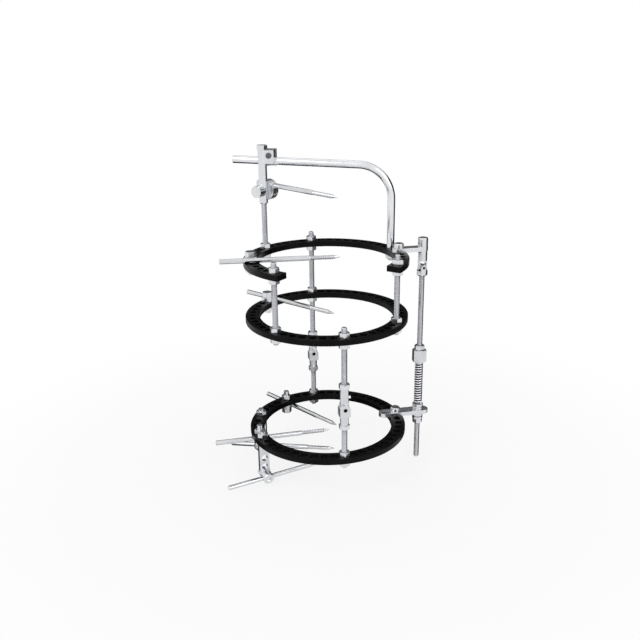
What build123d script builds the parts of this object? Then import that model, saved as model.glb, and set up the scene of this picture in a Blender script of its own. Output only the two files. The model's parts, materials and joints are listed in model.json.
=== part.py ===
from build123d import *
import math
import os

# Ring fixator for a limb: two linked upper rings, a lower ring on two hinges, and a spring distractor.
# Millimetres. Origin where the hinge axis crosses the ring axis, Z up along the limb,
# hinge axis along Y with the open side of the top ring at -Y, distractor on +X.

# Length of a cut that goes right through a small piece
through = 60.0

# Rings
ring_bore = 140.0
ring_width = 15.0
ring_thickness = 6.0
ring_hole = 7.0
free_hole_step = 7.5
hole_web = 2.0
full_turn = 360.0
top_ring_gap = 90.0
top_ring_face = 135.3
middle_ring_face = 75.2
bottom_ring_face = -52.2

# Threaded rods and nuts
rod_diameter = 6.0
rod_chamfer = 0.8
thread_gap = 0.05
nut_flats = 10.0
nut_height = 5.0
rod_end = 5.0
stud_end = 2.5

# Places round the rings, degrees from +X
left_rod_angle = -142.5
right_rod_angle = -37.5
front_angle = -90.0
back_angle = 90.0
post_angle = 135.0
bar_angle = 15.0
distractor_angle = 0.0
top_pin_angle = 180.0
middle_pin_angle = 135.0
rear_pin_angle = 116.5
side_pin_angle = -172.5
rear_hanger_angle = 153.5
front_hanger_angle = -165.0

# Hinges
hinge_body_diameter = 8.6
hinge_shoulder = 7.1
hinge_upper_length = 14.7
hinge_lower_length = 10.2
hinge_fork_floor = -6.7
hinge_ear_root = 1.0
hinge_width = 10.8
hinge_tongue_radius = 4.3
hinge_tongue_thickness = 4.4
hinge_ear_thickness = 3.0
hinge_side_gap = 0.1
hinge_pin_diameter = 4.0
hinge_pin_gap = 0.05
hinge_pin_recess = 2.4
hinge_pin_recess_depth = 2.5
hinge_upper_solid = 5.8
hinge_lower_solid = 1.4
set_screw_diameter = 3.0
set_screw_rise = 4.9
set_screw_length = 2.9
set_screw_stand = 2.0

# Half pins
pin_diameter = 5.0
pin_thread_diameter = 4.6
pin_thread_length = 30.0
pin_point_length = 5.5
pin_point_diameter = 0.8

# Pin clamps: on a ring a notched washer as thick as the pin, a bolt and a nut;
# on a hanging post a round-headed bolt with the pin through its head, a plain washer and a nut
clamp_washer_diameter = 13.0
clamp_pin_gap = 0.3
clamp_head_flats = 10.0
clamp_head_height = 5.5
clamp_round_head = 12.0
clamp_round_height = 9.5
clamp_round_chamfer = 1.0
clamp_socket = 5.0
clamp_socket_depth = 1.6
plain_washer_thickness = 1.2
head_pin_gap = 0.05

# Reach of each half pin from the ring's hole circle: back to its blunt end, and front to its point
top_pin_back = 31.5
top_pin_front = 90.0
middle_pin_back = 36.5
middle_pin_front = 89.5
rear_pin_back = 41.5
rear_pin_front = 77.5
side_pin_back = 47.0
side_pin_front = 77.5
rear_hanger_pin_back = 34.0
rear_hanger_pin_front = 87.0
front_hanger_pin_back = 44.5
front_hanger_pin_front = 82.0
post_pin_back = 14.0
post_pin_front = 87.0

# Turn of each half pin in its clamp, degrees from the line to the ring's axis
top_pin_turn = -5.0
middle_pin_turn = -7.0
rear_pin_turn = -5.5
side_pin_turn = 6.4
rear_hanger_pin_turn = 4.0
front_hanger_pin_turn = 1.2
post_pin_turn = 4.5

# Hanging posts under the bottom ring
hanger_width = 11.0
hanger_thickness = 4.5
hanger_hole_pitch = 10.0
hanger_first_hole = 17.8
hanger_hole_count = 3

# Post with the wheel clamp and the bar clamp
post_diameter = 9.0
post_length = 55.6
post_chamfer = 1.0
post_thread_depth = 8.0
wheel_rise = 13.9
wheel_diameter = 21.5
wheel_thickness = 3.5
wheel_gap = 0.6
wheel_saddle = 1.5
wheel_bolt_diameter = 5.0
wheel_head_diameter = 12.5
wheel_head_height = 8.5
wheel_nut_flats = 8.0
wheel_nut_height = 4.0

# Bent bar and its clamp
bar_diameter = 8.0
# Height of the arm over the top ring where the post holds it, and its slope up to the free end, degrees
bar_rise = 91.5
bar_slope = 2.25
bar_bend_radius = 35.5
bar_length = 169.0
bar_offset = 9.5
bar_gap = 0.05
bar_chamfer = 0.6
clamp_over_bar = 12.0
clamp_under_bar = 1.8
jaw_under_bar = 5.5
clamp_reach = 12.6
clamp_front = 3.6
clamp_split = 0.8
clamp_jaw_thickness = 6.0
clamp_screw_diameter = 3.5
clamp_screw_head = 6.0
clamp_screw_head_height = 1.6
clamp_screw_slot = 1.0
clamp_screw_rise = 6.5
clamp_screw_along = 7.4
clamp_bolt_depth = 8.0

# Distractor plates
plate_thickness = 4.5
upper_plate_width = 11.0
lower_plate_width = 12.5
upper_plate_inner_end = 6.7
upper_plate_outer_end = 5.4
lower_plate_inner_end = 18.7
lower_plate_outer_end = 11.6
distractor_stand = 19.0
plate_slot_length = 10.0
plate_relief_length = 8.0
plate_relief_width = 3.6
plate_head_diameter = 10.5
plate_head_height = 5.0

# Universal joint
joint_drop = 17.8
joint_cap_diameter = 10.5
joint_cap_height = 9.6
joint_cap_roof = 1.8
joint_yoke_diameter = 9.8
joint_foot_diameter = 11.6
joint_upper_reach = 7.1
joint_lower_reach = 3.6
joint_foot_height = 5.8
joint_ear_width = 5.4
joint_gap = 0.4
joint_pin_diameter = 2.8
joint_pin_gap = 0.05
joint_chamfer = 1.3
joint_thread_roof = 1.4

# Distractor rod, adjusting nut and spring
tail_length = 56.0
adjust_nut_flats = 14.0
adjust_nut_height = 14.2
adjust_nut_turn = 27.0
spring_length = 50.7
spring_wire = 1.5
spring_gap = 0.2
spring_turns = 17
spring_sections = 10
spring_sides = 6
ball_radius = 8.0
ball_gap = 0.6
ball_seat_diameter = 11.6
ball_seat_bore = 8.0
cup_floor = 1.1

pitch_radius = (ring_bore + ring_width) / 2
hinge_body_top = hinge_shoulder + hinge_upper_length
hinge_body_bottom = hinge_fork_floor - hinge_lower_length
hinge_thread_floor = hinge_shoulder + hinge_upper_solid
hinge_thread_roof = hinge_fork_floor - hinge_lower_solid
bore_diameter = rod_diameter + 2 * thread_gap
bar_height = top_ring_face + bar_rise
post_top = bar_height + clamp_over_bar
post_bottom = post_top - post_length
wheel_height = post_bottom + wheel_rise
clamp_bottom = bar_height - clamp_under_bar
BOTTOM = (Align.CENTER, Align.CENTER, Align.MIN)
TOP = (Align.CENTER, Align.CENTER, Align.MAX)


def on_ring(angle, z=0.0, radius=pitch_radius):
    a = math.radians(angle)
    return Vector(radius * math.cos(a), radius * math.sin(a), z)


def direction(angle):
    a = math.radians(angle)
    return Vector(math.cos(a), math.sin(a), 0)


def inward(angle):
    return direction(angle) * -1


def upright(diameter, z_low, z_high, at=Vector(0, 0, 0)):
    """Plain cylinder standing along Z."""
    return Pos(at.X, at.Y, z_low) * Cylinder(diameter / 2, z_high - z_low, align=BOTTOM)


def rod(diameter, z_low, z_high, at):
    """Threaded rod along Z with chamfered ends."""
    body = upright(diameter, z_low, z_high, at)
    return chamfer(body.edges().filter_by(GeomType.CIRCLE), rod_chamfer)


def hexagon(flats, height):
    """Hexagonal prism standing on its own origin, a corner along X."""
    return extrude(RegularPolygon(flats / 2, 6, major_radius=False), height)


def nut(at, angle, flats=nut_flats, height=nut_height, bore=bore_diameter):
    """Hex nut standing on the point at, a corner turned to the given angle."""
    body = hexagon(flats, height) - Cylinder(bore / 2, height, align=BOTTOM)
    return Pos(at.X, at.Y, at.Z) * Rot(0, 0, angle) * body


def frame_at(origin, z_dir, x_dir):
    return Plane(origin=origin, x_dir=x_dir, z_dir=z_dir)


# Rings

def hole_angles(used, first, last):
    """Holes in use, and free ones at an even step wherever they leave a web."""
    limit = math.degrees((ring_hole + hole_web) / pitch_radius)
    margin = math.degrees((ring_hole / 2 + hole_web) / pitch_radius)
    angles = list(used)
    for index in range(round(full_turn / free_hole_step)):
        angle = index * free_hole_step
        past_first = (angle - first) % full_turn
        inside = last - first >= full_turn or margin < past_first < last - first - margin
        clear = all(min((angle - u) % full_turn, (u - angle) % full_turn) >= limit for u in used)
        if inside and clear:
            angles.append(angle)
    return angles


def ring(face, used, gap=0.0):
    """Flat ring with its upper face at the given height, open by gap degrees about -Y."""
    section = Plane.XZ * Pos(pitch_radius, face - ring_thickness / 2) * Rectangle(ring_width, ring_thickness)
    first = front_angle + gap / 2
    body = Rot(0, 0, first) * revolve(section, Axis.Z, full_turn - gap)
    drill = Cylinder(ring_hole / 2, through)
    holes = [Pos(on_ring(a, face)) * drill for a in hole_angles(used, first, first + full_turn - gap)]
    return body - holes


top_used = [left_rod_angle, right_rod_angle, back_angle, post_angle, bar_angle, distractor_angle,
            top_pin_angle]
middle_used = [left_rod_angle, right_rod_angle, back_angle, front_angle, middle_pin_angle]
bottom_used = [front_angle, back_angle, distractor_angle, rear_pin_angle, side_pin_angle,
               rear_hanger_angle, front_hanger_angle]
top_under = top_ring_face - ring_thickness
middle_under = middle_ring_face - ring_thickness
bottom_under = bottom_ring_face - ring_thickness

parts = {}
parts["top_ring"] = ring(top_ring_face, top_used, top_ring_gap)
parts["middle_ring"] = ring(middle_ring_face, middle_used)
parts["bottom_ring"] = ring(bottom_ring_face, bottom_used)

upper_nuts = []
lower_nuts = []


def nuts_at(store, angle, face):
    """A nut on the ring's upper face and one under it."""
    store.append(nut(on_ring(angle, face), angle))
    store.append(nut(on_ring(angle, face - ring_thickness - nut_height), angle))


# Rods between the rings and to the hinges

rod_over = nut_height + rod_end
rod_under = nut_height + stud_end
for name, angle, low, face in (
    ("left_rod", left_rod_angle, middle_under - rod_under, top_ring_face),
    ("right_rod", right_rod_angle, middle_under - rod_under, top_ring_face),
    ("back_rod", back_angle, hinge_thread_floor, top_ring_face),
    ("front_rod", front_angle, hinge_thread_floor, middle_ring_face),
):
    parts[name] = rod(rod_diameter, low, face + rod_over, on_ring(angle))
    nuts_at(upper_nuts, angle, middle_ring_face)
    if face == top_ring_face:
        nuts_at(upper_nuts, angle, top_ring_face)

for name, angle in (("front_lower_rod", front_angle), ("back_lower_rod", back_angle)):
    parts[name] = rod(rod_diameter, bottom_under - rod_under, hinge_thread_roof, on_ring(angle))
    nuts_at(lower_nuts, angle, bottom_ring_face)
    lower_nuts.append(nut(on_ring(angle, hinge_body_bottom - nut_height), angle))
    upper_nuts.append(nut(on_ring(angle, hinge_body_top), angle))


# Hinges: a tongue on the upper half turns between the ears of the lower half about Y

hinge_gap = hinge_tongue_thickness + 2 * hinge_side_gap
hinge_depth = hinge_gap + 2 * hinge_ear_thickness


def along_y(diameter, length, at=Vector(0, 0, 0)):
    return Pos(at.X, at.Y, at.Z) * Rot(90, 0, 0) * Cylinder(diameter / 2, length)


def set_screw(diameter):
    """Small screw in the side of the upper half, standing out of it along +X."""
    start = hinge_body_diameter / 2 + set_screw_stand - set_screw_length
    place = Pos(start, 0, hinge_shoulder + set_screw_rise) * Rot(0, 90, 0)
    return place * Cylinder(diameter / 2, set_screw_length, align=BOTTOM)


def hinge_upper():
    body = upright(hinge_body_diameter, hinge_shoulder, hinge_body_top)
    tongue = Plane.XZ * (
        Pos(0, hinge_shoulder / 2) * Rectangle(2 * hinge_tongue_radius, hinge_shoulder)
        + Circle(hinge_tongue_radius)
    )
    body += extrude(tongue, hinge_tongue_thickness / 2, both=True)
    body -= along_y(hinge_pin_diameter + 2 * hinge_pin_gap, through)
    body -= upright(bore_diameter, hinge_thread_floor - thread_gap, hinge_body_top)
    return body - set_screw(set_screw_diameter + 2 * thread_gap)


def hinge_lower():
    body = upright(hinge_body_diameter, hinge_body_bottom, hinge_fork_floor)
    ear_low = hinge_fork_floor - hinge_ear_root
    ear = Plane.XZ * (
        Pos(0, ear_low / 2) * Rectangle(hinge_width, -ear_low)
        + Circle(hinge_width / 2)
    )
    fork = extrude(ear, hinge_depth / 2, both=True)
    slot = Pos(0, 0, hinge_fork_floor) * Box(through, hinge_gap, through, align=BOTTOM)
    body += fork - slot
    body -= along_y(hinge_pin_diameter, through)
    return body - upright(bore_diameter, hinge_body_bottom, hinge_thread_roof + thread_gap)


def hinge_pin():
    pin = along_y(hinge_pin_diameter, hinge_depth)
    for end in (-hinge_depth / 2, hinge_depth / 2):
        pin -= along_y(hinge_pin_recess, 2 * hinge_pin_recess_depth, Vector(0, end, 0))
    return pin


set_screws = []
for side, angle in (("front", front_angle), ("back", back_angle)):
    place = Pos(on_ring(angle))
    parts[side + "_hinge_upper"] = place * hinge_upper()
    parts[side + "_hinge_lower"] = place * hinge_lower()
    parts[side + "_hinge_pin"] = place * hinge_pin()
    set_screws.append(place * set_screw(set_screw_diameter))
parts["hinge_set_screws"] = Compound(set_screws)


# Half pins and the clamps that hold them

def half_pin(back, front):
    """Pin along local X, its blunt end at -X back, its threaded end and point at +X front."""
    r = pin_diameter / 2
    thread_r = pin_thread_diameter / 2
    shank_end = front - pin_thread_length
    thread_end = front - pin_point_length
    profile = Polyline(
        (-back, 0), (-back, r), (shank_end, r), (shank_end, thread_r), (thread_end, thread_r),
        (front, pin_point_diameter / 2), (front, 0), close=True)
    return revolve(make_face(profile), Axis.X)


pin_aside = rod_diameter / 2 + clamp_pin_gap + pin_diameter / 2


def clamp_washer(side):
    """Washer as thick as the pin, cut away on one side where the pin lies."""
    disc = Cylinder(clamp_washer_diameter / 2, pin_diameter, align=BOTTOM)
    disc -= Cylinder(bore_diameter / 2, pin_diameter, align=BOTTOM)
    edge = side * (pin_aside - pin_diameter / 2 + through / 2)
    return disc - Pos(0, edge, 0) * Box(through, through, pin_diameter, align=BOTTOM)


def clamp_bolt(head, washer, carrier, end):
    """Bolt with the given head on its washer, through the carrier and nut, and end past the nut."""
    length = washer + carrier + nut_height + end
    return Pos(0, 0, washer) * (head + Cylinder(rod_diameter / 2, length, align=TOP))


def pin_head():
    """Round head with a hole across it for the pin and a socket in its end."""
    head = Cylinder(clamp_round_head / 2, clamp_round_height, align=BOTTOM)
    head = chamfer(head.edges().filter_by(GeomType.CIRCLE).sort_by(Axis.Z)[-1], clamp_round_chamfer)
    head -= Pos(0, 0, clamp_round_height - clamp_socket_depth) * hexagon(clamp_socket, clamp_socket_depth)
    hole = Rot(0, 90, 0) * Cylinder(pin_diameter / 2 + head_pin_gap, through)
    return head - Pos(0, 0, clamp_round_height / 2) * hole


def pin_clamp(name, foot, outward_dir, pin_dir, side, pin, turn, end=stud_end):
    """Half pin, notched washer, bolt and nut on a ring whose face is at foot."""
    frame = frame_at(foot, outward_dir, pin_dir)
    turned = frame * Rot(0, 0, turn)
    parts[name] = turned * Pos(0, side * pin_aside, pin_diameter / 2) * pin
    head = hexagon(clamp_head_flats, clamp_head_height)
    bolt = frame * clamp_bolt(head, pin_diameter, ring_thickness, end)
    return turned * clamp_washer(side), bolt, frame * nut(Vector(0, 0, -ring_thickness - nut_height), 0)


def post_clamp(name, foot, outward_dir, pin_dir, pin, turn):
    """Half pin through the head of its bolt, with a plain washer and nut, on a hanging post."""
    frame = frame_at(foot, outward_dir, pin_dir)
    turned = frame * Rot(0, 0, turn)
    parts[name] = turned * Pos(0, 0, plain_washer_thickness + clamp_round_height / 2) * pin
    washer = Cylinder(clamp_washer_diameter / 2, plain_washer_thickness, align=BOTTOM)
    washer -= Cylinder(bore_diameter / 2, plain_washer_thickness, align=BOTTOM)
    bolt = turned * clamp_bolt(pin_head(), plain_washer_thickness, hanger_thickness, stud_end)
    return frame * washer, bolt, frame * nut(Vector(0, 0, -hanger_thickness - nut_height), 0)


UP = Vector(0, 0, 1)
DOWN = Vector(0, 0, -1)
upper_clamps = [
    pin_clamp("top_pin", on_ring(top_pin_angle, top_ring_face), UP, inward(top_pin_angle), -1,
              half_pin(top_pin_back, top_pin_front), top_pin_turn),
    pin_clamp("middle_pin", on_ring(middle_pin_angle, middle_ring_face), UP, inward(middle_pin_angle), 1,
              half_pin(middle_pin_back, middle_pin_front), middle_pin_turn),
]
ring_clamps = [
    pin_clamp("rear_pin", on_ring(rear_pin_angle, bottom_under), DOWN, inward(rear_pin_angle), -1,
              half_pin(rear_pin_back, rear_pin_front), rear_pin_turn, rod_end),
    pin_clamp("side_pin", on_ring(side_pin_angle, bottom_under), DOWN, inward(side_pin_angle), -1,
              half_pin(side_pin_back, side_pin_front), side_pin_turn, rod_end),
]


# Hanging posts: a flat plate with holes, its stud through the ring

def hanger_hole_z(index):
    return bottom_under - hanger_first_hole - index * hanger_hole_pitch


def hanger():
    """Plate in the local XZ plane, width along X."""
    last = hanger_hole_z(hanger_hole_count - 1)
    outline = Plane.XZ * (
        Pos(0, (bottom_under + last) / 2) * Rectangle(hanger_width, bottom_under - last)
        + Pos(0, last) * Circle(hanger_width / 2)
    )
    body = extrude(outline, hanger_thickness / 2, both=True)
    for index in range(round(hanger_hole_count)):
        body -= along_y(ring_hole, through, Vector(0, 0, hanger_hole_z(index)))
    stud_top = bottom_ring_face + nut_height + stud_end
    return body + upright(rod_diameter, bottom_under, stud_top)


hanger_clamps = []
front_hanger_blank = half_pin(front_hanger_pin_back, front_hanger_pin_front)
rear_hanger_blank = half_pin(rear_hanger_pin_back, rear_hanger_pin_front)
for name, angle, hole, pin, turn in (
    ("front_hanger", front_hanger_angle, 2, front_hanger_blank, front_hanger_pin_turn),
    ("rear_hanger", rear_hanger_angle, 1, rear_hanger_blank, rear_hanger_pin_turn),
):
    parts[name] = Pos(on_ring(angle)) * Rot(0, 0, angle) * hanger()
    lower_nuts.append(nut(on_ring(angle, bottom_ring_face), angle))
    across = direction(angle + 90)
    foot = on_ring(angle, hanger_hole_z(hole)) + across * (hanger_thickness / 2)
    hanger_clamps.append(post_clamp(name + "_pin", foot, across, inward(angle), pin, turn))

for label, clamps, store in (("upper", upper_clamps, upper_nuts), ("ring", ring_clamps, lower_nuts),
                             ("hanger", hanger_clamps, lower_nuts)):
    parts[label + "_pin_washers"] = Compound([c[0] for c in clamps])
    parts[label + "_pin_bolts"] = Compound([c[1] for c in clamps])
    store.extend(c[2] for c in clamps)


# Post on the top ring, with the wheel clamp

post_at = on_ring(post_angle)
wheel_dir = direction(post_angle - 90)
parts["post_rod"] = rod(rod_diameter, top_under - rod_under, post_bottom + post_thread_depth, post_at)
nuts_at(upper_nuts, post_angle, top_ring_face)

# Local X to the ring's axis, local Y down, local Z across the post
wheel_frame = frame_at(post_at + UP * wheel_height, wheel_dir, inward(post_angle))
wheel_bore = wheel_bolt_diameter + 2 * thread_gap
wheel_pin_z = post_diameter / 2 + wheel_thickness + wheel_gap / 2
wheel_pin_aside = (wheel_bolt_diameter + pin_diameter) / 2 + clamp_pin_gap
wheel_end = post_diameter / 2 + 2 * wheel_thickness + wheel_gap


def post():
    body = upright(post_diameter, post_bottom, clamp_bottom)
    body = chamfer(body.edges().filter_by(GeomType.CIRCLE).sort_by(Axis.Z)[0], post_chamfer)
    body -= upright(bore_diameter, post_bottom, post_bottom + post_thread_depth + thread_gap)
    return body - upright(bore_diameter, clamp_bottom - clamp_bolt_depth - thread_gap, clamp_bottom)


post_body = Pos(post_at.X, post_at.Y, 0) * post()
parts["post_sleeve"] = post_body - wheel_frame * Cylinder(wheel_bore / 2, through)


def wheel(inner):
    """One of the two wheels that pinch the pin, with half of the pin's groove."""
    low = post_diameter / 2 - wheel_saddle if inner else wheel_end - wheel_thickness
    high = post_diameter / 2 + wheel_thickness if inner else wheel_end
    disc = upright(wheel_diameter, low, high) - upright(wheel_bore, low, high)
    groove = Pos(0, -wheel_pin_aside, wheel_pin_z) * Rot(0, 0, post_pin_turn) * Rot(0, 90, 0) * Cylinder(
        pin_diameter / 2 + bar_gap, through)
    disc -= groove
    if inner:
        disc -= along_y(post_diameter + 2 * bar_gap, through)
    return disc


def wheel_bolt():
    low = -post_diameter / 2 - wheel_head_height
    head = upright(wheel_head_diameter, low, wheel_saddle - post_diameter / 2)
    head -= along_y(post_diameter + 2 * bar_gap, through)
    return head + upright(wheel_bolt_diameter, low, wheel_end + wheel_nut_height + stud_end)


parts["wheel_inner"] = wheel_frame * wheel(True)
parts["wheel_outer"] = wheel_frame * wheel(False)
parts["wheel_bolt"] = wheel_frame * wheel_bolt()
parts["wheel_nut"] = wheel_frame * nut(
    Vector(0, 0, wheel_end), 0, wheel_nut_flats, wheel_nut_height, wheel_bore)
post_pin_place = Pos(0, -wheel_pin_aside, wheel_pin_z) * Rot(0, 0, post_pin_turn)
parts["post_pin"] = wheel_frame * post_pin_place * half_pin(post_pin_back, post_pin_front)


# Bent bar: a leg standing on the top ring, a bend, and an arm that passes behind the post, rising a little

leg_at = on_ring(bar_angle)
to_post = post_at - leg_at
arm_angle = math.degrees(math.atan2(to_post.Y, to_post.X) - math.asin(bar_offset / to_post.length))
arm_dir = direction(arm_angle)
arm_to_post = math.sqrt(to_post.length ** 2 - bar_offset ** 2)
bend_turn = 90 - bar_slope
bend_reach = bar_bend_radius * (1 - math.cos(math.radians(bend_turn)))
bend_rise = bar_bend_radius * math.sin(math.radians(bend_turn))
arm_start = bar_height - (arm_to_post - bend_reach) * math.tan(math.radians(bar_slope))
bend_low = arm_start - bend_rise


def bent_bar():
    """Leg, bend and arm in the local XZ plane, the arm along +X."""
    leg = upright(bar_diameter, top_ring_face, bend_low)
    ring_section = Plane.XY.offset(bend_low) * Circle(bar_diameter / 2)
    turn_axis = Axis((bar_bend_radius, 0, bend_low), (0, 1, 0))
    bend = revolve(ring_section, turn_axis, bend_turn)
    arm = Pos(bend_reach, 0, arm_start) * Rot(0, bend_turn, 0) * Cylinder(
        bar_diameter / 2, bar_length - bar_bend_radius, align=BOTTOM)
    arm = chamfer(arm.edges().filter_by(GeomType.CIRCLE).sort_by(Axis.X)[-1], bar_chamfer)
    stud = upright(rod_diameter, top_under - rod_under, top_ring_face)
    return leg + bend + arm + stud


parts["bent_bar"] = Pos(leg_at) * Rot(0, 0, arm_angle) * bent_bar()
upper_nuts.append(nut(on_ring(bar_angle, top_under - nut_height), bar_angle))


# Bar clamp bolted on the end of the post: local X along the arm to the leg, Y behind the post, Z up

clamp_frame = Location(Plane(origin=(post_at.X, post_at.Y, 0), x_dir=arm_dir * -1, z_dir=(0, 0, 1)))
clamp_height = post_top - clamp_bottom
bar_cut = Pos(0, bar_offset, bar_height) * Rot(0, 90 + bar_slope, 0) * Cylinder(
    bar_diameter / 2 + bar_gap, through)
screw_at = Pos(clamp_screw_along, 0, bar_height + clamp_screw_rise) * Rot(-90, 0, 0)
screw_hole = screw_at * Cylinder(clamp_screw_diameter / 2 + thread_gap, through)
block_back = bar_offset - clamp_split / 2


def bar_clamp_block():
    body = Pos(0, -clamp_front, clamp_bottom) * Box(
        clamp_reach, clamp_front + block_back, clamp_height, align=(Align.MIN, Align.MIN, Align.MIN))
    body += upright(post_diameter, clamp_bottom, post_top)
    body -= upright(bore_diameter, clamp_bottom, post_top)
    return body - bar_cut - screw_hole


def bar_clamp_jaw():
    low = bar_height - jaw_under_bar
    body = Pos(0, bar_offset + clamp_split / 2, low) * Box(
        clamp_reach, clamp_jaw_thickness, post_top - low, align=(Align.MIN, Align.MIN, Align.MIN))
    return body - bar_cut - screw_hole


def bar_clamp_screw():
    depth = clamp_front + block_back + clamp_split + clamp_jaw_thickness
    head = Cylinder(clamp_screw_head / 2, clamp_screw_head_height, align=TOP)
    slot = Box(through, clamp_screw_slot, clamp_screw_slot, align=BOTTOM)
    head -= Pos(0, 0, -clamp_screw_head_height) * slot
    screw = head + Cylinder(clamp_screw_diameter / 2, depth, align=BOTTOM)
    return screw_at * Pos(0, 0, -clamp_front) * screw


def bar_clamp_bolt():
    head = Pos(0, 0, post_top) * hexagon(nut_flats, nut_height)
    return head + upright(rod_diameter, clamp_bottom - clamp_bolt_depth, post_top)


parts["bar_clamp_block"] = clamp_frame * bar_clamp_block()
parts["bar_clamp_jaw"] = clamp_frame * bar_clamp_jaw()
parts["bar_clamp_screw"] = clamp_frame * bar_clamp_screw()
parts["bar_clamp_bolt"] = clamp_frame * bar_clamp_bolt()


# Distractor plates, in line with +X

plate_bolt_at = on_ring(distractor_angle)
distractor_radius = ring_bore / 2 + ring_width + distractor_stand
rod_at = Vector(distractor_radius, 0, 0)
plate_top = top_ring_face + plate_thickness


def plate(inner_end, outer_end, width, face):
    """Flat bar with round ends past the ring's hole and the rod's line, lying on the given height."""
    inner = pitch_radius - inner_end
    outer = distractor_radius + outer_end
    blank = Pos((inner + outer) / 2, 0, face) * extrude(SlotOverall(outer - inner, width), plate_thickness)
    return blank - upright(ring_hole, face, face + plate_thickness, plate_bolt_at)


def plate_bolt(face):
    """Round-headed bolt on a plate that lies on a ring, down to its nut."""
    top = face + plate_thickness
    shank = upright(rod_diameter, face - ring_thickness - rod_under, top, plate_bolt_at)
    head = upright(plate_head_diameter, top, top + plate_head_height, plate_bolt_at)
    head = chamfer(head.edges().filter_by(GeomType.CIRCLE).sort_by(Axis.Z)[-1], rod_chamfer)
    return shank + head


upper_plate = plate(upper_plate_inner_end, upper_plate_outer_end, upper_plate_width, top_ring_face)
parts["upper_plate"] = upper_plate - upright(bore_diameter, top_ring_face, plate_top, rod_at)
parts["upper_plate_bolt"] = plate_bolt(top_ring_face)
upper_nuts.append(nut(on_ring(distractor_angle, top_under - nut_height), distractor_angle))

lower_plate = plate(lower_plate_inner_end, lower_plate_outer_end, lower_plate_width, bottom_ring_face)
rod_slot = extrude(SlotOverall(plate_slot_length, ring_hole), plate_thickness)
relief = extrude(SlotOverall(plate_relief_length, plate_relief_width), plate_thickness)
relief_x = pitch_radius - (lower_plate_inner_end + ring_hole / 2) / 2
parts["lower_plate"] = lower_plate - [
    Pos(distractor_radius, 0, bottom_ring_face) * rod_slot, Pos(relief_x, 0, bottom_ring_face) * relief]
parts["lower_plate_bolt"] = plate_bolt(bottom_ring_face)
lower_nuts.append(nut(on_ring(distractor_angle, bottom_under - nut_height), distractor_angle))


# Universal joint under the upper plate: upper yoke and cross on the plate, lower yoke on the rod

ear_inner = joint_ear_width / 2 + joint_gap
joint_height = top_ring_face - joint_drop
joint_upper_floor = joint_height + joint_upper_reach
joint_foot_top = joint_height - joint_lower_reach
joint_foot_bottom = joint_foot_top - joint_foot_height


def yoke(z_floor, z_far, diameter, across_x):
    """Round yoke whose two ears reach from z_floor to the joint's centre, apart along X or Y."""
    low, high = sorted((z_floor, z_far))
    body = upright(diameter, low, high)
    span = abs(joint_height - z_floor)
    middle = (joint_height + z_floor) / 2
    centre = Pos(0, 0, joint_height)
    outline = Plane.YZ * (
        Pos(0, middle) * Rectangle(joint_ear_width, span)
        + Pos(0, joint_height) * Circle(joint_ear_width / 2)
    )
    round_blank = upright(diameter, joint_height - span, joint_height + span)
    ears = extrude(outline, diameter, both=True) & round_blank
    ears -= centre * Box(2 * ear_inner, through, 2 * span)
    ears -= centre * Rot(0, 90, 0) * Cylinder(joint_pin_diameter / 2 + joint_pin_gap, through)
    return body + (ears if across_x else Rot(0, 0, 90) * ears)


def upper_yoke():
    stud_top = plate_top + joint_cap_height - joint_cap_roof - thread_gap
    return yoke(joint_upper_floor, top_ring_face, joint_yoke_diameter, True) + upright(
        rod_diameter, top_ring_face, stud_top)


def joint_cap():
    cap = upright(joint_cap_diameter, plate_top, plate_top + joint_cap_height)
    cap = chamfer(cap.edges().filter_by(GeomType.CIRCLE).sort_by(Axis.Z)[-1], rod_chamfer)
    return cap - upright(bore_diameter, plate_top, plate_top + joint_cap_height - joint_cap_roof)


def cross():
    block = Box(joint_ear_width, joint_ear_width, joint_ear_width)
    block += Rot(0, 90, 0) * Cylinder(joint_pin_diameter / 2, joint_yoke_diameter - 2 * joint_gap)
    block -= along_y(joint_pin_diameter + 2 * joint_pin_gap, through)
    return Pos(0, 0, joint_height) * block


rod_top = joint_foot_top - joint_thread_roof


def lower_yoke():
    body = yoke(joint_foot_top, joint_foot_bottom, joint_foot_diameter, False)
    rim = body.edges().filter_by(GeomType.CIRCLE).group_by(Axis.Z)[0]
    body = chamfer(rim, joint_chamfer)
    return body - upright(bore_diameter, joint_foot_bottom, rod_top + thread_gap)


parts["joint_cap_nut"] = Pos(rod_at) * joint_cap()
parts["joint_upper_yoke"] = Pos(rod_at) * upper_yoke()
parts["joint_cross"] = Pos(rod_at) * cross()
parts["joint_lower_yoke"] = Pos(rod_at) * lower_yoke()
parts["joint_pin"] = Pos(rod_at) * along_y(
    joint_pin_diameter, joint_foot_diameter - 2 * joint_gap, Vector(0, 0, joint_height))


# Distractor rod, nuts, spring and the ball seats on the lower plate

seat_centre = bottom_ring_face + plate_thickness / 2
cup_bore = bore_diameter + 2 * thread_gap
cup_radius = ball_radius + ball_gap
cup_height = math.sqrt(cup_radius ** 2 - (cup_bore / 2) ** 2) + cup_floor
spring_low = seat_centre + cup_height
adjust_bottom = spring_low + spring_length


def ball_seat():
    """Ring on the plate whose upper end is part of a ball about the plate's middle."""
    seat = upright(ball_seat_diameter, plate_thickness / 2, ball_radius) & Sphere(ball_radius)
    return seat - upright(ball_seat_bore, 0, 2 * ball_radius)


def cup_washer():
    """Washer hollowed to a ball, a little larger than the seat it sits over."""
    low = math.sqrt(cup_radius ** 2 - (ball_seat_diameter / 2) ** 2)
    disc = upright(ball_seat_diameter, low, cup_height)
    return disc - Sphere(cup_radius) - upright(cup_bore, 0, 2 * cup_radius)


def both_sides(shape):
    """The shape over the plate and its mirror image under it, placed on the distractor's line."""
    place = Pos(distractor_radius, 0, seat_centre)
    return Compound([place * shape, place * mirror(shape, Plane.XY)])


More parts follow.
